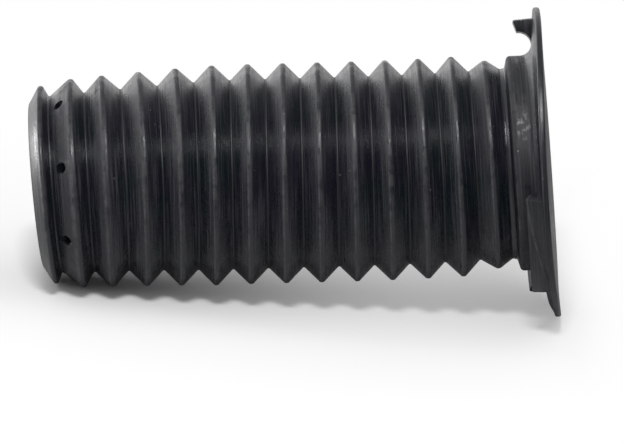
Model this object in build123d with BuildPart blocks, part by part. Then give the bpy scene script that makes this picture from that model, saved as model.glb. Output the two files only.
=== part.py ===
from build123d import *
from math import atan2, cos, degrees, radians, sin
import os

os.makedirs("parts", exist_ok=True)

# Dust boot of a suspension strut, moulded in rubber as one thin-walled piece. It lies on its side, on the
# rim of its flange and on the vent ridge of its small end, which both give a little under its weight.
# Lengths are in millimetres and angles in degrees. Along the boot, zero is the flange's front face.

# Collar and flange
collar_radius = 34.2
collar_length = 11.2  # front face to the collar's shoulder
collar_wall = 2.2
shoulder_run = 2.5
shoulder_drop = 4.0
mouth_chamfer = 0.8
groove_radius = 3.85  # of the hollow between the collar and the flange, and of the lugs' hooks
flange_root = 3.1  # thickness beside the collar
flange_edge = 2.0  # thickness at the rim
rim_margin = 3.3  # from the lugs' outer side to the rim
rim_chamfer = 0.6

# Bellows
even_ridges = 12
ridge_pitch = 11.14
ridge_radius = 35.0
ridge_land = 1.6
fold_depth = 5.1
wall = 1.6
ridge_wall = 2.6  # thickness under a ridge's land
collar_ridge_radius = 33.1  # the ridge beside the collar is lower than the rest
collar_ridge_run = 4.7  # from the collar's furrow to that ridge
taper_ridges = 4  # ridges that step down towards the small end
taper_step = 0.45

# Small end
vent_pitch = 9.5  # last even ridge to the vent ridge
vent_furrow_run = 5.6  # last even ridge to the furrow before the vent ridge
rim_pitch = 9.2  # vent ridge to the rim's ridge
rim_furrow_run = 2.3  # rim's ridge back to its furrow
rim_furrow_depth = 3.7
rim_ridge_radius = 31.6
rim_run = 3.7  # rim's ridge to the open end
rim_radius = 26.3
rim_width = 1.4  # of the open end's face, between the rim and the lip's bore
lip_length = 2.2
vent_diameter = 3.5
vent_count = 8
vent_turn = 8.3

# Hooked lugs on the flange's back: a narrow tab, and a long lug on each side of it
lug_wall = 4.1  # from the widest part of the hook to the lug's outer side
lug_reach = 8.7  # front face to the free edge
lug_draft = 0.4
lug_slant = 1.2
tab_width = 12.0
long_lug_start = 105.5  # round from the tab
long_lug_end = 154.5
buttress_end = 151.0
buttress_toe = 0.13  # height that is left where a buttress runs out on the flange
buttress_root = 1.0  # how far a buttress reaches into its lug
buttress_sections = 5

quarter_handle = 0.5523  # Bezier handle of a quarter circle, as a share of its radius

# How the boot lies
tab_lean = 17.0  # the tab leans back from the top by this much
settle = 0.3  # how far the soft rubber gives where it rests


def wall_corner(before, corner, after, first_depth, second_depth):
    """Where the two sides at a corner of the outline meet once each has moved into the rubber by its depth."""
    first_run = (corner - before).normalized()
    second_run = (after - corner).normalized()
    first_point = corner + first_run.rotate(Axis.Z, -90) * first_depth
    second_point = corner + second_run.rotate(Axis.Z, -90) * second_depth
    reach = (second_point - first_point).cross(second_run).Z / first_run.cross(second_run).Z
    return first_point + first_run * reach


def ridge(place, radius):
    """The two ends of a ridge's narrow land."""
    return [Vector(place - ridge_land / 2, radius), Vector(place + ridge_land / 2, radius)]


def tapered_radius(number):
    """Radius of a ridge, numbered from the collar's own ridge."""
    return ridge_radius - taper_step * max(0, number - (even_ridges - taper_ridges))


# Outline of the folds, from the collar to the open end: places along the boot and radii
collar_furrow = collar_length + shoulder_run
collar_ridge = collar_furrow + collar_ridge_run
last_even_ridge = collar_ridge + ridge_pitch * (even_ridges - 1)
vent_ridge = last_even_ridge + vent_pitch
vent_ridge_radius = tapered_radius(even_ridges)
rim_ridge = vent_ridge + rim_pitch
rim_furrow = rim_ridge - rim_furrow_run
rim_furrow_radius = rim_ridge_radius - rim_furrow_depth
boot_length = rim_ridge + rim_run
lip_bore_radius = rim_radius - rim_width

folds = [
    [Vector(0, collar_radius)],
    [Vector(collar_length, collar_radius)],
    [Vector(collar_furrow, collar_radius - shoulder_drop)],
    ridge(collar_ridge, collar_ridge_radius),
]
for number in range(1, even_ridges):
    place = collar_ridge + ridge_pitch * number
    furrow_radius = (tapered_radius(number - 1) + tapered_radius(number)) / 2 - fold_depth
    folds.append([Vector(place - ridge_pitch / 2, furrow_radius)])
    folds.append(ridge(place, tapered_radius(number)))
vent_furrow_radius = (tapered_radius(even_ridges - 1) + vent_ridge_radius) / 2 - fold_depth
folds += [
    [Vector(last_even_ridge + vent_furrow_run, vent_furrow_radius)],
    ridge(vent_ridge, vent_ridge_radius),
    [Vector(rim_furrow, rim_furrow_radius)],
    ridge(rim_ridge, rim_ridge_radius),
    [Vector(boot_length, rim_radius)],
]
outer_folds = [point for fold in folds for point in fold]
side_walls = [ridge_wall if start.Y == end.Y else wall for start, end in zip(outer_folds, outer_folds[1:])]
side_walls[0] = collar_wall
inner_folds = []
for number in range(1, len(side_walls)):
    corner_points = outer_folds[number - 1 : number + 2]
    inner_folds.append(wall_corner(*corner_points, *side_walls[number - 1 : number + 1]))

# Collar, lugs and flange, outwards from the hollow between the collar and the flange
hollow_middle = flange_root + groove_radius
hollow_radius = collar_radius + groove_radius
hook_radius = hollow_radius + groove_radius
lug_radius = hook_radius + lug_wall
flange_radius = lug_radius + rim_margin

# Where the boot lies. Its axis slopes because the flange is wider than the vent ridge.
rest_span = vent_ridge - flange_edge
slope = degrees(atan2(flange_radius - vent_ridge_radius, rest_span))
slope_cos = cos(radians(slope))
slope_sin = sin(radians(slope))
face_height = flange_radius * slope_cos + flange_edge * slope_sin - settle
face_place = (boot_length * slope_cos + (rim_radius - flange_radius) * slope_sin) / 2
along = Vector(-slope_cos, 0, -slope_sin)
upwards = Vector(-slope_sin, 0, slope_cos)
boot_axis = Axis((face_place, 0, face_height), along)


def section_plane(turn):
    """Plane through the boot's axis, turned round from the tab: x runs along the boot and y outwards."""
    outwards = upwards.rotate(boot_axis, tab_lean + turn)
    return Plane(origin=boot_axis.position, x_dir=along, z_dir=along.cross(outwards))


def quarter_round(root, end):
    """A quarter of the round hollow, from its deepest point at the flange."""
    handle = groove_radius * quarter_handle
    towards = 1 if end[1] > root[1] else -1
    Bezier(root, (root[0], root[1] + towards * handle), (end[0] - handle, end[1]), end)


with BuildPart() as bellows_boot:
    # Body: flange, collar, folds and lip as one turned section
    with BuildSketch(section_plane(0)) as body_section:
        with BuildLine() as body_outline:
            quarter_round((flange_root, hollow_radius), (hollow_middle, collar_radius))
            Polyline(
                (hollow_middle, collar_radius),
                *outer_folds[1:],
                (boot_length, lip_bore_radius),
                (boot_length - lip_length, lip_bore_radius),
                *reversed(inner_folds),
                (0, collar_radius - collar_wall),
                (0, flange_radius),
                (flange_edge, flange_radius),
                (flange_root, hollow_radius),
            )
        make_face()
        rim_corners = body_section.vertices().group_by(Axis.Y)[-1]
        chamfer(rim_corners, length=rim_chamfer)
        mouth = body_section.vertices().sort_by_distance((0, collar_radius - collar_wall))[0]
        chamfer(mouth, length=mouth_chamfer)
    revolve(axis=boot_axis)

    # Hooked lugs
    tab_span = degrees(tab_width / lug_radius)
    lug_spans = [(-tab_span / 2, tab_span)]
    for side_start in (long_lug_start, -long_lug_end):
        lug_spans.append((side_start, long_lug_end - long_lug_start))
    for start, span in lug_spans:
        with BuildSketch(section_plane(start)) as lug_section:
            with BuildLine() as lug_outline:
                Polyline(
                    (flange_root, hollow_radius),
                    (flange_edge / 2, hollow_radius),
                    (flange_edge / 2, lug_radius),
                    (lug_reach, lug_radius - lug_draft),
                    (lug_reach - lug_slant, hook_radius),
                    (hollow_middle, hook_radius),
                )
                quarter_round((flange_root, hollow_radius), (hollow_middle, hook_radius))
            make_face()
        revolve(axis=boot_axis, revolution_arc=span)

    # A buttress runs down the outside of each long lug, from its free edge at the end next to the tab
    for side in (1, -1):
        for step in range(buttress_sections):
            share = step / (buttress_sections - 1)
            turn = long_lug_start + (buttress_end - long_lug_start) * share
            height = lug_reach + (flange_edge + buttress_toe - lug_reach) * share
            with BuildSketch(section_plane(side * turn)):
                with BuildLine():
                    Polyline(
                        (flange_edge / 2, lug_radius - buttress_root),
                        (flange_edge / 2, flange_radius - rim_chamfer),
                        (height, lug_radius - lug_draft),
                        (height, lug_radius - buttress_root),
                        close=True,
                    )
                make_face()
        loft(ruled=True)

    # Vents through the long flank between the vent ridge and the rim's furrow
    vent_rise = vent_ridge_radius - rim_furrow_radius
    vent_run = rim_furrow - vent_ridge
    vent_lean = degrees(atan2(vent_rise, vent_run))
    for number in range(vent_count):
        flank = section_plane(vent_turn + number * 360 / vent_count)
        middle = flank.from_local_coords((vent_ridge + vent_run / 2, rim_furrow_radius + vent_rise / 2, 0))
        outwards = flank.y_dir.rotate(Axis(flank.origin, flank.z_dir), -vent_lean)
        with BuildSketch(Plane(origin=middle, z_dir=outwards)):
            Circle(vent_diameter / 2)
        extrude(amount=2 * wall, both=True, mode=Mode.SUBTRACT)

    # Small flats where the boot rests
    split(bisect_by=Plane.XY, keep=Keep.TOP)

bellows_boot.part.label = "bellows_boot"
export_step(bellows_boot.part, "parts/bellows_boot.step")
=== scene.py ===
"""The rubber bellows boot as it lies in a soft studio light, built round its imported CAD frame."""

import bmesh
import bpy
import numpy as np
from math import atan2, ceil, cos, degrees, pi, radians, sin, sqrt, tan
from mathutils import Matrix, Vector

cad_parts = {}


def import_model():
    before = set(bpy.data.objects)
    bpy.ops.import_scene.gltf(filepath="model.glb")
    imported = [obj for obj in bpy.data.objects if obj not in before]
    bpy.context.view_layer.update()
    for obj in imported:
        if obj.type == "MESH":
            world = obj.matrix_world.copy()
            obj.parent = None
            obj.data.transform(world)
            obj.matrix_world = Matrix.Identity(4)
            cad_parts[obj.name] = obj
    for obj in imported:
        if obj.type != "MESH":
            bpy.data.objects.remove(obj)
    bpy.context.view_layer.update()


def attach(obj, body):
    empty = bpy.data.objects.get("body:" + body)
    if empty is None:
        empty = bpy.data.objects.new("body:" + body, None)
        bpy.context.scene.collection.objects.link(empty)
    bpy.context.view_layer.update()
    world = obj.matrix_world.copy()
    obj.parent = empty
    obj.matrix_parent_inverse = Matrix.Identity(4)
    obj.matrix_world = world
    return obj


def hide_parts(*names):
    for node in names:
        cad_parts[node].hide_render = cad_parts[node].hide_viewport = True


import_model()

# Lengths are in millimetres and angles in degrees, but the studio's lengths and the camera's distance are in
# metres. Along the boot, zero is the flange's front face.
MM = 0.001

# Collar and flange
collar_radius = 34.2
collar_length = 11.2  # front face to the collar's shoulder
collar_wall = 2.2
shoulder_run = 2.5
shoulder_drop = 4.0
shoulder_foot_run = 1.0  # the shoulder drops steeply here, and then runs out to the furrow
shoulder_foot_rise = 0.3
groove_radius = 3.85  # of the hollow between the collar and the flange, and of the lugs' hooks
flange_root = 3.1  # thickness beside the collar
flange_edge = 2.0  # thickness at the rim
rim_margin = 3.3  # from the lugs' outer side to the rim

# Bellows
even_ridges = 12
ridge_pitch = 11.14
ridge_radius = 35.0
ridge_land = 1.1  # narrower than the solid's, because the corners are rounded
fold_depth = 5.1
wall = 1.6
ridge_wall = 2.6  # thickness under a ridge's land
collar_ridge_radius = 33.1
collar_ridge_run = 4.7
taper_ridges = 4  # ridges that step down towards the small end
taper_step = 0.45

# Small end
vent_pitch = 9.5  # last even ridge to the vent ridge
vent_furrow_run = 5.6
rim_pitch = 9.2  # vent ridge to the rim's ridge
rim_furrow_run = 2.3
rim_furrow_depth = 3.7
rim_ridge_radius = 31.6
rim_run = 3.7
rim_radius = 26.3
rim_width = 1.4  # of the open end's face
lip_length = 2.2
vent_diameter = 3.5
vent_reach = 3.0  # of a vent's cutter to each side of the flank
vent_count = 8
vent_turn = 8.3

# Hooked lugs on the flange's back: a narrow tab, and a long lug on each side of it
lug_wall = 4.1
lug_reach = 8.7
lug_draft = 0.4
lug_slant = 1.2
tab_width = 12.0
long_lug_start = 105.5  # round from the tab
long_lug_end = 154.5
lug_end_tilt = 2.4  # by which the inner side of a long lug's end runs on past its outer side
buttress_end = 151.0
buttress_toe = 0.134  # height over the rim where a buttress runs out
buttress_root = 1.5  # how far a buttress reaches into its lug
buttress_rim_gap = 0.5

# Roundings, and bevels with the least angle that they round
crest_round = 0.85
furrow_round = 0.5
shoulder_round = 1.3
rim_round = 0.7
mouth_round = 0.6
end_round = 0.3
lug_edge_round = 0.5
hook_edge_round = 0.4
lug_bevel = (0.35, 50)
buttress_bevel = (0.3, 40)

# Steps of the meshes
turn_steps = 224
arc_step = 18.0
arc_share = 0.48  # the most of a side that one arc takes
straight_turn = 2.0  # a corner that turns less than this stays as it is
hollow_steps = 12
longest_side = 8.0
lug_longest_side = 2.0
lug_step = 2.0
buttress_sections = 15
vent_steps = 28
smooth_angle = 35.0

# How the boot lies, and how its soft rubber gives. A ridge leans in the upright plane through the axis, and
# is pushed askew in the level one.
tab_lean = 17.0  # the tab leans back from the top by this much
settle = 0.3  # how far it gives where it rests
slack_place = 105.0  # of the ridge that leans furthest towards the flange at its top
slack_lean = -2.0
end_lean = 2.2
collar_lean = 1.6
pulled_together = 0.95  # how much nearer to the flange the middle ridges lie
side_push = 1.2
side_push_run = 25.0
side_bulge = 3.2
side_bulge_place = 128.0
side_bulge_length = 23.0
sag_height = 0.42
sag_place = 112.0
sag_length = 130.0
sag_start_run = 40.0

# How far the flange's rim is bent towards the small end, at its sides, upright and where it meets the floor
near_rim_bend = 1.9
far_rim_bend = 4.5
upright_rim_bend = -0.25
floor_bend = 0.45
floor_bend_height = -25.0
floor_bend_run = 20.0
floor_twist = 0.85
floor_twist_width = 6.0

# Where the surface is marked for the material
skin = 0.9  # depth under the outline that still counts as the outside
leeway = 0.5  # by which a mark reaches past the edges of its place
off_folds = 0.5  # for a point on no fold, neither high nor low
highlight_corner = 0.5  # from the middle of a land to its corner, where a painted highlight runs
lug_face_depth = 0.6
crease_span = (-0.1, 1.05)  # shares of a buttress's length
# The painted highlight on the collar's shoulder reaches this far along it, and this deep
shoulder_highlight_run = 1.2
shoulder_highlight_depth = 2.0
flange_dullness = 0.4
rim_dullness = 0.45

# Rubber
cold_black = (0.0030, 0.0066, 0.0092)
warm_black = (0.0064, 0.0048, 0.0118)
# Painted shade that darkens the furrows
furrow_painted_shade = (0.004, 0.004, 0.006)
streak_grey = (0.034, 0.033, 0.042)
# Partly wear and partly painted sheen on the ridges' lands
rubbed_sheen_grey = (0.021, 0.021, 0.028)
# A painted highlight along the lands' corners and other edges
corner_highlight_grey = (0.070, 0.070, 0.080)
dust_grey = (0.30, 0.30, 0.31)
rubbed_sheen_from, rubbed_sheen_to = (-1.1, -0.5), (1.1, 0.6)  # past the middle of a land
corner_from, corner_to = (0.15, 0.5), (1.0, 0.7)
rubbed_roughness = 0.25
specular_level = 0.8
streak_bump = 0.8
fine_bump = 0.25
bump_strength = 0.4
bump_distance = 0.0004

# Studio. Each range is an axis, a start and an end along it, and the strengths there.
floor_size = 6.0
floor_grey = 0.75
fill_light = 0.62
left_mirrored = 1.55
right_mirrored = 0.4
# Painted light the camera sees on the floor: it lifts the boot's shadow under its raised end, and whitens the
# floor in front, beside the flange and behind
floor_glows = [
    ("X", -0.06, 0.05, 0.0, 0.32),
    ("Y", -0.015, -0.06, 0.0, 0.45),
    ("X", 0.078, 0.105, 0.0, 0.9),
    ("Y", 0.04, 0.2, 0.0, 1.0),
]
floor_mirrored = [
    ("Y", -0.26, 0.25, 0.13, 0.88),
    ("X", 0.1, 0.3, 1.0, right_mirrored),
    ("X", -0.3, -0.07, left_mirrored, 1.0),
]
world_mirrored = [
    ("Y", -0.7, 0.35, 0.25, 1.0),
    ("X", -0.5, 0.4, left_mirrored, 0.9),
    ("X", 0.4, 0.9, 1.0, right_mirrored),
    ("Z", 0.2, 0.65, 1.0, 0.32),
]

# Camera
sensor_width = 36
focal_length = 280
camera_elevation = 16.5
camera_yaw = 0.6
camera_roll = 3.6
camera_distance = 1.5505
camera_reach = 20
camera_aim = (5.85, 0, 24.66)


def outline_arc(before, corner, after, rounding):
    """Points of the arc that rounds one corner of an outline."""
    before, corner, after = (np.array(point, float) for point in (before, corner, after))
    back, ahead = before - corner, after - corner
    back_length, ahead_length = np.linalg.norm(back), np.linalg.norm(ahead)
    back, ahead = back / back_length, ahead / ahead_length
    turn = pi - np.arccos(np.clip(back @ ahead, -1, 1))
    if rounding <= 0 or turn < radians(straight_turn):
        return [corner]
    reach = min(rounding * tan(turn / 2), arc_share * back_length, arc_share * ahead_length)
    radius = reach / tan(turn / 2)
    middle = (back + ahead) / np.linalg.norm(back + ahead)
    centre = corner + middle * sqrt(reach**2 + radius**2)
    start, end = corner + back * reach - centre, corner + ahead * reach - centre
    steps = max(2, ceil(degrees(turn) / arc_step))
    points = []
    for step in range(steps + 1):
        share = step / steps
        first, second = sin((1 - share) * turn) / sin(turn), sin(share * turn) / sin(turn)
        points.append(centre + first * start + second * end)
    return points


def rounded(corners, longest):
    """A closed outline with its corners, (place, radius, rounding), turned into arcs."""
    points = []
    for number, (place, radius, rounding) in enumerate(corners):
        before = corners[number - 1][:2]
        after = corners[(number + 1) % len(corners)][:2]
        points += outline_arc(before, (place, radius), after, rounding)
    filled = []
    for start, end in zip(points, points[1:] + points[:1]):
        steps = max(1, ceil(np.linalg.norm(end - start) / longest))
        filled += [start + (end - start) * step / steps for step in range(steps)]
    return filled


def wall_corner(before, corner, after, first_depth, second_depth):
    """Where two sides of an outline meet once each has moved into the rubber by its depth."""
    before, corner, after = (np.array(point[:2], float) for point in (before, corner, after))
    first, second = corner - before, after - corner
    first, second = first / np.linalg.norm(first), second / np.linalg.norm(second)
    first_point = corner + first_depth * np.array([first[1], -first[0]])
    second_point = corner + second_depth * np.array([second[1], -second[0]])
    gap = second_point - first_point
    reach = (gap[0] * second[1] - gap[1] * second[0]) / (first[0] * second[1] - first[1] * second[0])
    return first_point + first * reach


def tapered_radius(number):
    """Radius of a ridge, numbered from the collar's own ridge."""
    return ridge_radius - taper_step * max(0, number - (even_ridges - taper_ridges))


collar_furrow = collar_length + shoulder_run
collar_ridge = collar_furrow + collar_ridge_run
last_even_ridge = collar_ridge + ridge_pitch * (even_ridges - 1)
vent_ridge = last_even_ridge + vent_pitch
vent_ridge_radius = tapered_radius(even_ridges)
rim_ridge = vent_ridge + rim_pitch
rim_furrow = rim_ridge - rim_furrow_run
rim_furrow_radius = rim_ridge_radius - rim_furrow_depth
boot_length = rim_ridge + rim_run
lip_bore_radius = rim_radius - rim_width

hollow_middle = flange_root + groove_radius
hollow_radius = collar_radius + groove_radius
hook_radius = hollow_radius + groove_radius
lug_radius = hook_radius + lug_wall
flange_radius = lug_radius + rim_margin


def land(place, radius):
    """The two corners of a ridge's narrow land."""
    return [
        (place - ridge_land / 2, radius, crest_round),
        (place + ridge_land / 2, radius, crest_round),
    ]


def fold_corners():
    """Outer corners of the folds, from the collar's shoulder to the open end."""
    foot_radius = collar_radius - shoulder_drop
    corners = [
        (collar_length, collar_radius, shoulder_round),
        (collar_length + shoulder_foot_run, foot_radius + shoulder_foot_rise, furrow_round),
        (collar_furrow, foot_radius, furrow_round),
        *land(collar_ridge, collar_ridge_radius),
    ]
    for number in range(1, even_ridges):
        place = collar_ridge + ridge_pitch * number
        furrow_radius = (tapered_radius(number - 1) + tapered_radius(number)) / 2 - fold_depth
        corners.append((place - ridge_pitch / 2, furrow_radius, furrow_round))
        corners += land(place, tapered_radius(number))
    furrow_radius = (tapered_radius(even_ridges - 1) + vent_ridge_radius) / 2 - fold_depth
    corners += [
        (last_even_ridge + vent_furrow_run, furrow_radius, furrow_round),
        *land(vent_ridge, vent_ridge_radius),
        (rim_furrow, rim_furrow_radius, furrow_round),
        *land(rim_ridge, rim_ridge_radius),
        (boot_length, rim_radius, end_round),
    ]
    return corners


def inner_corners(outer):
    """Inner corners, each under its outer one, at the wall's depth from both sides."""
    chain = [(0, collar_radius)] + [corner[:2] for corner in outer]
    depths = [ridge_wall if start[1] == end[1] else wall for start, end in zip(chain, chain[1:])]
    depths[0] = collar_wall
    inner = []
    for number in range(1, len(depths)):
        sides = depths[number - 1 : number + 1]
        point = wall_corner(*chain[number - 1 : number + 2], *sides)
        inner.append((*point, 0 if ridge_wall in sides else furrow_round))
    return inner


def hollow_quarter(side):
    """A quarter of the round hollow, from its deepest point to the collar (-1) or to a lug's hook (1)."""
    corners = []
    for step in range(hollow_steps + 1):
        angle = pi / 2 * step / hollow_steps
        place = hollow_middle - groove_radius * cos(angle)
        corners.append((place, hollow_radius + side * groove_radius * sin(angle), 0))
    return corners


def body_outline():
    """Section of the flange, collar, folds and lip, all round the wall."""
    outer = fold_corners()
    corners = [
        (flange_edge, flange_radius, rim_round),
        *hollow_quarter(-1),
        *outer,
        (boot_length, lip_bore_radius, end_round),
        (boot_length - lip_length, lip_bore_radius, end_round),
        *reversed(inner_corners(outer)),
        (0, collar_radius - collar_wall, mouth_round),
        (0, flange_radius, rim_round),
    ]
    return rounded(corners, longest_side)


def lug_outline():
    """Section of a lug, whose foot stands in the flange."""
    corners = [
        (flange_edge / 2, hollow_radius, 0),
        (flange_edge / 2, lug_radius, 0),
        (lug_reach, lug_radius - lug_draft, lug_edge_round),
        (lug_reach - lug_slant, hook_radius, hook_edge_round),
        *reversed(hollow_quarter(1)),
    ]
    return rounded(corners, lug_longest_side)


def mesh_object(name, points, faces):
    """An object of these points and faces, with its normals outwards."""
    mesh = bpy.data.meshes.new(name)
    mesh.from_pydata([tuple(point) for point in points], [], faces)
    made = bpy.data.objects.new(name, mesh)
    bpy.context.scene.collection.objects.link(made)
    cleaned = bmesh.new()
    cleaned.from_mesh(mesh)
    bmesh.ops.recalc_face_normals(cleaned, faces=cleaned.faces)
    cleaned.to_mesh(mesh)
    cleaned.free()
    return made


def swept_faces(count, sections, whole=False):
    """Faces between sections of so many points, and over both ends unless the sections close up."""
    faces = []
    for section in range(sections if whole else sections - 1):
        here, there = section * count, (section + 1) % sections * count
        for number in range(count):
            after = (number + 1) % count
            faces.append((here + number, here + after, there + after, there + number))
    if not whole:
        faces += [tuple(range(count)), tuple(range((sections - 1) * count, sections * count))]
    return faces


def on_boot(place, radius, turn):
    """A point along the boot, at a radius, turned round from the top towards the far side."""
    return place, radius * cos(radians(turn)), radius * sin(radians(turn))


def turned(name, outline, start=0.0, span=360.0, steps=turn_steps, tilts=(0, 0)):
    """An outline of (place, radius) swept round the boot's axis. The tilts are the angles by which the inner
    side of each end runs on past the outer side."""
    whole = span >= 360
    sections = steps if whole else steps + 1
    radii = [radius for place, radius in outline]
    depths = [(max(radii) - radius) / (max(radii) - min(radii)) for radius in radii]
    points = []
    for section in range(sections):
        share = section / steps
        tilt = tilts[1] * share - tilts[0] * (1 - share)
        for (place, radius), depth in zip(outline, depths):
            points.append(on_boot(place, radius, start + span * share + depth * tilt))
    return mesh_object(name, points, swept_faces(len(outline), sections, whole))


def softened(piece, width, angle):
    """Rounds the sharp edges of a piece."""
    bevel = piece.modifiers.new("edges", "BEVEL")
    bevel.width = width
    bevel.segments = 2
    bevel.limit_method = "ANGLE"
    bevel.angle_limit = radians(angle)
    return piece


def lug(name, start, span, tilts=(0, 0)):
    """A hooked lug, from its start round from the tab."""
    swept = turned(name, lug_outline(), tab_lean + start, span, int(span / lug_step), tilts)
    return softened(swept, *lug_bevel)


def buttress(name, side):
    """Runs down the outside of a long lug, from its free edge at the end next to the tab."""
    points = []
    for section in range(buttress_sections):
        share = section / (buttress_sections - 1)
        turn = tab_lean + side * (long_lug_start + (buttress_end - long_lug_start) * share)
        height = lug_reach + (flange_edge + buttress_toe - lug_reach) * share
        outline = [
            (flange_edge / 2, lug_radius - buttress_root),
            (flange_edge / 2, flange_radius - buttress_rim_gap),
            (height, lug_radius - lug_draft),
            (height, lug_radius - buttress_root),
        ]
        points += [on_boot(place, radius, turn) for place, radius in outline]
    swept = mesh_object(name, points, swept_faces(len(outline), buttress_sections))
    return softened(swept, *buttress_bevel)


def vent(name, turn):
    """The cutter of a vent through the long flank between the vent ridge and the rim's furrow."""
    rise = vent_ridge_radius - rim_furrow_radius
    run = rim_furrow - vent_ridge
    lean = atan2(rise, run)
    out = Vector(on_boot(0, 1, tab_lean + turn))
    normal = Vector((1, 0, 0)) * sin(lean) + out * cos(lean)
    middle = Vector((vent_ridge + run / 2, 0, 0)) + out * (rim_furrow_radius + rise / 2)
    across = normal.orthogonal().normalized()
    beside = normal.cross(across)
    points = []
    for end in (-1, 1):
        for step in range(vent_steps):
            angle = 2 * pi * step / vent_steps
            arm = (across * cos(angle) + beside * sin(angle)) * vent_diameter / 2
            points.append(middle + arm + normal * end * vent_reach)
    return mesh_object(name, points, swept_faces(vent_steps, 2))


def joined(body, others, operation):
    """Adds pieces to the body or cuts them out of it, and removes them."""
    for other in others:
        step = body.modifiers.new("join", "BOOLEAN")
        step.operation = operation
        step.solver = "MANIFOLD"
        step.object = other
    graph = bpy.context.evaluated_depsgraph_get()
    mesh = bpy.data.meshes.new_from_object(body.evaluated_get(graph))
    body.modifiers.clear()
    body.data = mesh
    for other in others:
        bpy.data.objects.remove(other)


# Where the boot lies. Its axis slopes because the flange is wider than the vent ridge.
rest_span = vent_ridge - flange_edge
slope = atan2(flange_radius - vent_ridge_radius, rest_span)
boot_directions = np.array([
    [-cos(slope), 0, -sin(slope)],  # along
    [-sin(slope), 0, cos(slope)],  # upwards
    [0, 1, 0],  # away
])
face_height = flange_radius * cos(slope) + flange_edge * sin(slope) - settle
face_place = (boot_length * cos(slope) + (rim_radius - flange_radius) * sin(slope)) / 2


def eased(share):
    """Goes softly from 0 to 1."""
    share = np.clip(share, 0, 1)
    return share * share * (3 - 2 * share)


def rim_bend(place, up, aside):
    """How far the flange's rim, with its lugs, is bent towards the small end."""
    radius = np.hypot(up, aside)
    outward = eased((radius - hollow_radius) / (flange_radius - hollow_radius))
    near = np.clip(-aside / flange_radius, 0, 1) ** 2
    far = np.clip(aside / flange_radius, 0, 1) ** 2 * (1 - up / flange_radius) / 2
    upright = np.clip(np.abs(up) / flange_radius, 0, 1) ** 2
    bend = near_rim_bend * near + far_rim_bend * far + upright_rim_bend * upright
    on_floor = eased((floor_bend_height - up) / floor_bend_run)
    bend += on_floor * (floor_bend + floor_twist * np.tanh(aside / floor_twist_width))
    return outward * bend * (1 - eased((place - flange_root) / lug_reach))


def given_way(points):
    """Bends the boot as it lies: points are (place, up, aside) from the middle of the flange's face."""
    place, up, aside = points.T
    to_end = np.clip((place - slack_place) / (boot_length - slack_place), 0, None)
    to_collar = np.clip((slack_place - place) / (slack_place - collar_ridge), 0, 1)
    lean = slack_lean + (end_lean - slack_lean) * to_end**2
    lean += (collar_lean - slack_lean) * to_collar**2
    push = side_push * eased((place - collar_length) / side_push_run)
    push += side_bulge * np.exp(-(((place - side_bulge_place) / side_bulge_length) ** 2))
    run = np.clip((place - collar_ridge) / (vent_ridge - ridge_pitch - collar_ridge), 0, 1)
    moved = place + up * np.tan(np.radians(lean)) + aside * np.tan(np.radians(push))
    moved += rim_bend(place, up, aside) - pulled_together * np.sin(pi * run)
    sag = sag_height * np.cos(2 * pi * (place - sag_place) / sag_length)
    return np.stack([moved, up + sag * eased(place / sag_start_run), aside], -1)


def points_of(piece):
    """The places of a piece's points, a row for each."""
    points = np.empty(3 * len(piece.data.vertices))
    piece.data.vertices.foreach_get("co", points)
    return points.reshape(-1, 3)


def surface_marks(points):
    """How high each point is on its fold, how far it is past the middle of a ridge's land or of another edge
    with a painted highlight, and how dull it is."""
    place = points[:, 0]
    radius = np.hypot(points[:, 1], points[:, 2])
    corners = np.array([corner[:2] for corner in fold_corners()])
    pairs = zip(corners, corners[1:])
    tops = np.array([(first + second) / 2 for first, second in pairs if first[1] == second[1]])
    threes = zip(corners, corners[1:], corners[2:])
    lows = np.array([corner for before, corner, after in threes if corner[1] < min(before[1], after[1])])
    high, low = np.interp(place, *tops.T), np.interp(place, *lows.T)
    outside = (place > collar_furrow) & (place < boot_length)
    outside &= radius > np.interp(place, *corners.T) - skin
    fold = np.where(outside, np.clip((radius - low) / (high - low), 0, 1), off_folds)
    past = place - tops[np.abs(place[:, None] - tops[None, :, 0]).argmin(1), 0]
    past = np.where(outside, past, ridge_pitch)

    # A painted highlight runs along the long lugs' free edge, and along the crease above the buttress
    turn = np.degrees(np.arctan2(points[:, 2], points[:, 1])) - tab_lean
    share = (np.abs((turn + 180) % 360 - 180) - long_lug_start) / (buttress_end - long_lug_start)
    crease = lug_reach + (flange_edge - lug_reach) * share
    on_lug = (share > crease_span[0]) & (share < crease_span[1])
    on_lug &= (radius > hook_radius - leeway) & (place > flange_root)
    from_edge = np.where(place > lug_reach - lug_face_depth, place - lug_reach, place - crease)
    past = np.where(on_lug, highlight_corner + from_edge, past)

    # And along the collar's shoulder
    on_shoulder = np.abs(place - collar_length) < shoulder_highlight_run
    on_shoulder &= radius > collar_radius - shoulder_highlight_depth
    past = np.where(on_shoulder, highlight_corner + place - collar_length, past)

    collar_start = hollow_middle - 2 * leeway
    on_collar = (place > collar_start) & (place < collar_length + leeway) & (radius < collar_radius + leeway)
    on_flange = (place < collar_start) & (radius > hollow_radius)
    dull = np.where(on_flange, flange_dullness, on_collar)
    dull = np.where(place > rim_ridge + 2 * leeway, rim_dullness, dull)
    return {"fold": fold, "past_ridge": past, "dull": dull}


def marked(piece):
    """Keeps each point's marks for the material, with its place before the rubber gives."""
    points = points_of(piece)
    for name, values in surface_marks(points).items():
        attribute = piece.data.attributes.new(name, "FLOAT", "POINT")
        attribute.data.foreach_set("value", values.astype(np.float32))
    attribute = piece.data.attributes.new("boot", "FLOAT_VECTOR", "POINT")
    attribute.data.foreach_set("vector", points.astype(np.float32).ravel())


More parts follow.
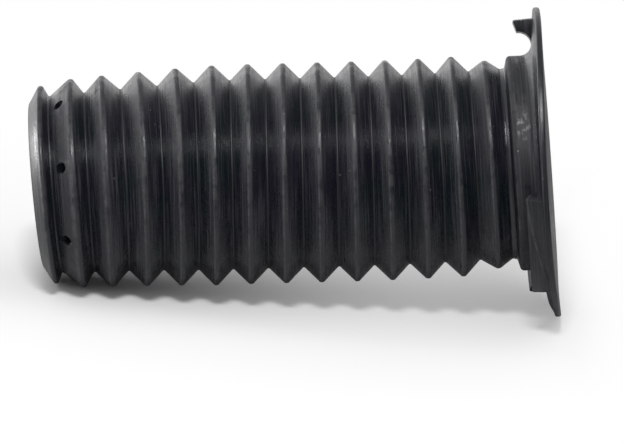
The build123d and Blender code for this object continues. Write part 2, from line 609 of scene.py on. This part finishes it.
def laid_down(piece):
    """Takes a piece from the boot's own frame to where it lies on the floor."""
    placed = np.array([face_place, 0, face_height]) + given_way(points_of(piece)) @ boot_directions
    placed[:, 2] = np.maximum(placed[:, 2], 0)
    piece.data.vertices.foreach_set("co", (placed * MM).ravel())
    piece.data.update()


def node(tree, kind, inputs=(), **settings):
    """A shader node with its settings. Each input is linked to a socket, or given a number."""
    made = tree.nodes.new(kind)
    for name, value in settings.items():
        setattr(made, name, value)
    for name, value in dict(inputs).items():
        if isinstance(value, (int, float)):
            made.inputs[name].default_value = value
        else:
            tree.links.new(value, made.inputs[name])
    return made


def ramp(tree, source, low, high, to_low=0.0, to_high=1.0):
    """Takes a value softly from one range to another, and holds it within that."""
    inputs = {"Value": source, "From Min": low, "From Max": high, "To Min": to_low, "To Max": to_high}
    return node(tree, "ShaderNodeMapRange", inputs, interpolation_type="SMOOTHSTEP").outputs["Result"]


def chosen(tree, is_ray, for_others, for_ray):
    """One value for a kind of ray, and another for all others."""
    inputs = {"Value": is_ray, "To Min": for_others, "To Max": for_ray}
    return node(tree, "ShaderNodeMapRange", inputs).outputs["Result"]


def combined(tree, operation, *values):
    """Values multiplied or added, or the greatest of them."""
    result = values[0]
    for value in values[1:]:
        result = node(tree, "ShaderNodeMath", {0: result, 1: value}, operation=operation).outputs["Value"]
    return result


def combined_ranges(tree, operation, parts, ranges):
    """The strengths of ranges along the axes, combined."""
    strengths = [ramp(tree, parts.outputs[axis], *limits) for axis, *limits in ranges]
    return combined(tree, operation, *strengths)


def blended(tree, share, first, second):
    """A colour between two, by a share."""
    made = node(tree, "ShaderNodeMix", {"Factor": share}, data_type="RGBA")
    sockets = [socket for socket in made.inputs if socket.type == "RGBA"]
    for socket, value in zip(sockets, (first, second)):
        if isinstance(value, tuple):
            socket.default_value = (*value, 1)
        else:
            tree.links.new(value, socket)
    return next(socket for socket in made.outputs if socket.type == "RGBA")


def noise(tree, place, scale, detail, roughness=0.5, stretch=(1, 1, 1)):
    """Noise in the boot's own millimetres, stretched along the boot, upwards and away."""
    mapped = node(tree, "ShaderNodeMapping", {"Vector": place})
    mapped.inputs["Scale"].default_value = stretch
    inputs = {"Vector": mapped.outputs["Vector"], "Scale": scale, "Detail": detail, "Roughness": roughness}
    return node(tree, "ShaderNodeTexNoise", inputs).outputs["Fac"]


def rubber():
    """Black moulded rubber: satin, lighter along the ridges from wear and painted sheen, with painted
    highlights along edges, painted shade in the furrows, dust and handling marks.
    """
    material = bpy.data.materials.new("black_rubber")
    material.use_nodes = True
    tree = material.node_tree
    shader = tree.nodes["Principled BSDF"]
    place = node(tree, "ShaderNodeAttribute", attribute_name="boot").outputs["Vector"]
    fold = node(tree, "ShaderNodeAttribute", attribute_name="fold").outputs["Fac"]
    past = node(tree, "ShaderNodeAttribute", attribute_name="past_ridge").outputs["Fac"]
    dull = node(tree, "ShaderNodeAttribute", attribute_name="dull").outputs["Fac"]

    cloud = noise(tree, place, scale=0.045, detail=3)
    patch = noise(tree, place, scale=0.3, detail=4, roughness=0.6)
    streak = noise(tree, place, scale=1.0, detail=4, roughness=0.6, stretch=(2.2, 0.04, 0.04))
    fine = noise(tree, place, scale=2.2, detail=3)
    speck = noise(tree, place, scale=0.9, detail=2, roughness=0.4)

    # The black itself is a little uneven, and fine marks run round the boot
    colour = blended(tree, ramp(tree, cloud, 0.42, 0.6), cold_black, warm_black)
    colour = blended(tree, ramp(tree, streak, 0.48, 0.68), colour, streak_grey)

    # The lands of the ridges are lighter, partly from wear and partly painted sheen, and a painted highlight
    # runs along their corner
    patchy = ramp(tree, patch, 0.35, 0.62, 0.2, 1.0)
    on_land = combined(tree, "MULTIPLY", ramp(tree, past, *rubbed_sheen_from), ramp(tree, past, *rubbed_sheen_to))
    rubbed_sheen = combined(tree, "MULTIPLY", on_land, patchy)
    colour = blended(tree, rubbed_sheen, colour, rubbed_sheen_grey)
    # A painted highlight along the lands' corners, the long lugs' free edges and creases, and the collar's
    # shoulder
    on_corner = combined(tree, "MULTIPLY", ramp(tree, past, *corner_from), ramp(tree, past, *corner_to))
    grain = ramp(tree, fine, 0.35, 0.65, 0.25, 1.0)
    colour = blended(tree, combined(tree, "MULTIPLY", on_corner, grain, patchy), colour, corner_highlight_grey)

    # The furrows are darkened with painted shade, and specks of dust lie on the rest
    colour = blended(tree, ramp(tree, fold, 0.1, 0.0), colour, furrow_painted_shade)
    dust = combined(tree, "MULTIPLY", ramp(tree, speck, 0.765, 0.79), ramp(tree, cloud, 0.45, 0.6))
    colour = blended(tree, dust, colour, dust_grey)
    tree.links.new(colour, shader.inputs["Base Color"])

    # Rubbed lands and furrows are duller, and so are the collar, flange and rim, but for their scuffs
    scuffed = ramp(tree, patch, 0.5, 0.62, 1.0, 0.1)
    roughness = combined(
        tree,
        "ADD",
        ramp(tree, patch, 0.3, 0.7, 0.23, 0.34),
        ramp(tree, streak, 0.3, 0.7, -0.05, 0.08),
        combined(tree, "MULTIPLY", rubbed_sheen, rubbed_roughness),
        ramp(tree, fold, 0.12, 0.0, 0.0, 0.3),
        combined(tree, "MULTIPLY", ramp(tree, dull, 0.0, 1.0, 0.0, 0.3), scuffed),
    )
    tree.links.new(roughness, shader.inputs["Roughness"])
    shader.inputs["Specular IOR Level"].default_value = specular_level

    streaks = combined(tree, "MULTIPLY", streak, streak_bump)
    height = combined(tree, "ADD", streaks, combined(tree, "MULTIPLY", fine, fine_bump))
    bumps = {"Height": height, "Strength": bump_strength, "Distance": bump_distance}
    tree.links.new(node(tree, "ShaderNodeBump", bumps).outputs["Normal"], shader.inputs["Normal"])
    return material


def build_boot():
    """The whole boot as one closed piece, which takes the place of its node."""
    body = turned("bellows_boot_rubber", body_outline())
    tab_span = degrees(tab_width / lug_radius)
    long_span = long_lug_end - long_lug_start
    lugs = [
        lug("tab", -tab_span / 2, tab_span),
        lug("far_lug", long_lug_start, long_span, (lug_end_tilt, 0)),
        lug("near_lug", -long_lug_end, long_span, (0, lug_end_tilt)),
        buttress("far_buttress", 1),
        buttress("near_buttress", -1),
    ]
    joined(body, lugs, "UNION")
    vents = [vent(f"vent_{number}", vent_turn + 360 * number / vent_count) for number in range(vent_count)]
    joined(body, vents, "DIFFERENCE")
    marked(body)
    laid_down(body)
    body.data.polygons.foreach_set("use_smooth", [True] * len(body.data.polygons))
    body.data.set_sharp_from_angle(angle=radians(smooth_angle))
    body.data.materials.clear()
    body.data.materials.append(rubber())
    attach(body, "root")
    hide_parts("bellows_boot")


def floor():
    """A pale sheet that looks white, with the boot's shadow on it. The camera sees it glow, a painted light
    that lifts the boot's shadow under its raised end and whitens the floor in front of it, beside the flange
    and behind, so that the background fades to white. The boot reflects it darker towards the camera."""
    size = floor_size
    corners = [(-size, -size, 0), (size, -size, 0), (size, size, 0), (-size, size, 0)]
    mesh = bpy.data.meshes.new("floor")
    mesh.from_pydata(corners, [], [(0, 1, 2, 3)])
    sheet = bpy.data.objects.new("floor", mesh)
    bpy.context.scene.collection.objects.link(sheet)
    material = bpy.data.materials.new("white_sheet")
    material.use_nodes = True
    tree = material.node_tree
    tree.nodes.remove(tree.nodes["Principled BSDF"])
    place = node(tree, "ShaderNodeNewGeometry").outputs["Position"]
    parts = node(tree, "ShaderNodeSeparateXYZ", {"Vector": place})
    ray = node(tree, "ShaderNodeLightPath")

    white = node(tree, "ShaderNodeBsdfDiffuse")
    white.inputs["Color"].default_value = (1, 1, 1, 1)
    glow = node(tree, "ShaderNodeEmission")
    glowing = combined_ranges(tree, "MAXIMUM", parts, floor_glows)
    shaders = {"Fac": glowing, 1: white.outputs["BSDF"], 2: glow.outputs["Emission"]}
    seen = node(tree, "ShaderNodeMixShader", shaders)

    mirrored = combined_ranges(tree, "MULTIPLY", parts, floor_mirrored)
    grey = chosen(tree, ray.outputs["Is Glossy Ray"], floor_grey, mirrored)
    unseen = node(tree, "ShaderNodeBsdfDiffuse", {"Color": grey})

    shaders = {"Fac": ray.outputs["Is Camera Ray"], 1: unseen.outputs["BSDF"], 2: seen.outputs["Shader"]}
    mix = node(tree, "ShaderNodeMixShader", shaders)
    tree.links.new(mix.outputs["Shader"], tree.nodes["Material Output"].inputs["Surface"])
    sheet.data.materials.append(material)


def world():
    """White surroundings. They reflect brightest at the left, and darker overhead, at the right and on the
    side where the camera stands."""
    made = bpy.data.worlds.new("studio")
    bpy.context.scene.world = made
    made.use_nodes = True
    tree = made.node_tree
    place = node(tree, "ShaderNodeTexCoord").outputs["Generated"]
    parts = node(tree, "ShaderNodeSeparateXYZ", {"Vector": place})
    ray = node(tree, "ShaderNodeLightPath")
    mirrored = combined_ranges(tree, "MULTIPLY", parts, world_mirrored)
    unseen = chosen(tree, ray.outputs["Is Glossy Ray"], fill_light, mirrored)
    strength = chosen(tree, ray.outputs["Is Camera Ray"], unseen, 1.0)
    background = tree.nodes["Background"]
    background.inputs["Color"].default_value = (1, 1, 1, 1)
    tree.links.new(strength, background.inputs["Strength"])


def lamp(name, place, target, size, power):
    """A rectangular lamp, in metres and watts."""
    data = bpy.data.lights.new(name, "AREA")
    data.shape = "RECTANGLE"
    data.size, data.size_y = size
    data.energy = power
    made = bpy.data.objects.new(name, data)
    made.location = place
    made.rotation_euler = (Vector(target) - Vector(place)).to_track_quat("-Z", "Y").to_euler()
    bpy.context.scene.collection.objects.link(made)


def camera():
    """The camera at the photo's viewing angle."""
    data = bpy.data.cameras.new("camera")
    data.sensor_width = sensor_width
    data.lens = focal_length
    data.clip_end = camera_reach
    made = bpy.data.objects.new("camera", data)
    elevation, yaw = radians(camera_elevation), radians(camera_yaw)
    view = Vector((sin(yaw) * cos(elevation), cos(yaw) * cos(elevation), -sin(elevation)))
    made.location = Vector(camera_aim) * MM - view * camera_distance
    roll = Matrix.Rotation(radians(camera_roll), 3, "Z")
    made.rotation_euler = (view.to_track_quat("-Z", "Y").to_matrix() @ roll).to_euler()
    bpy.context.scene.collection.objects.link(made)
    bpy.context.scene.camera = made


build_boot()
floor()
world()
lamp("key", place=(-0.1, -0.88, 1.27), target=(0, 0, 0.03), size=(0.26, 0.2), power=11)
lamp("side", place=(-1.3, 0.45, 0.08), target=(0, 0, 0.05), size=(0.7, 0.16), power=6.5)
camera()
bpy.context.scene.view_settings.view_transform = "Standard"
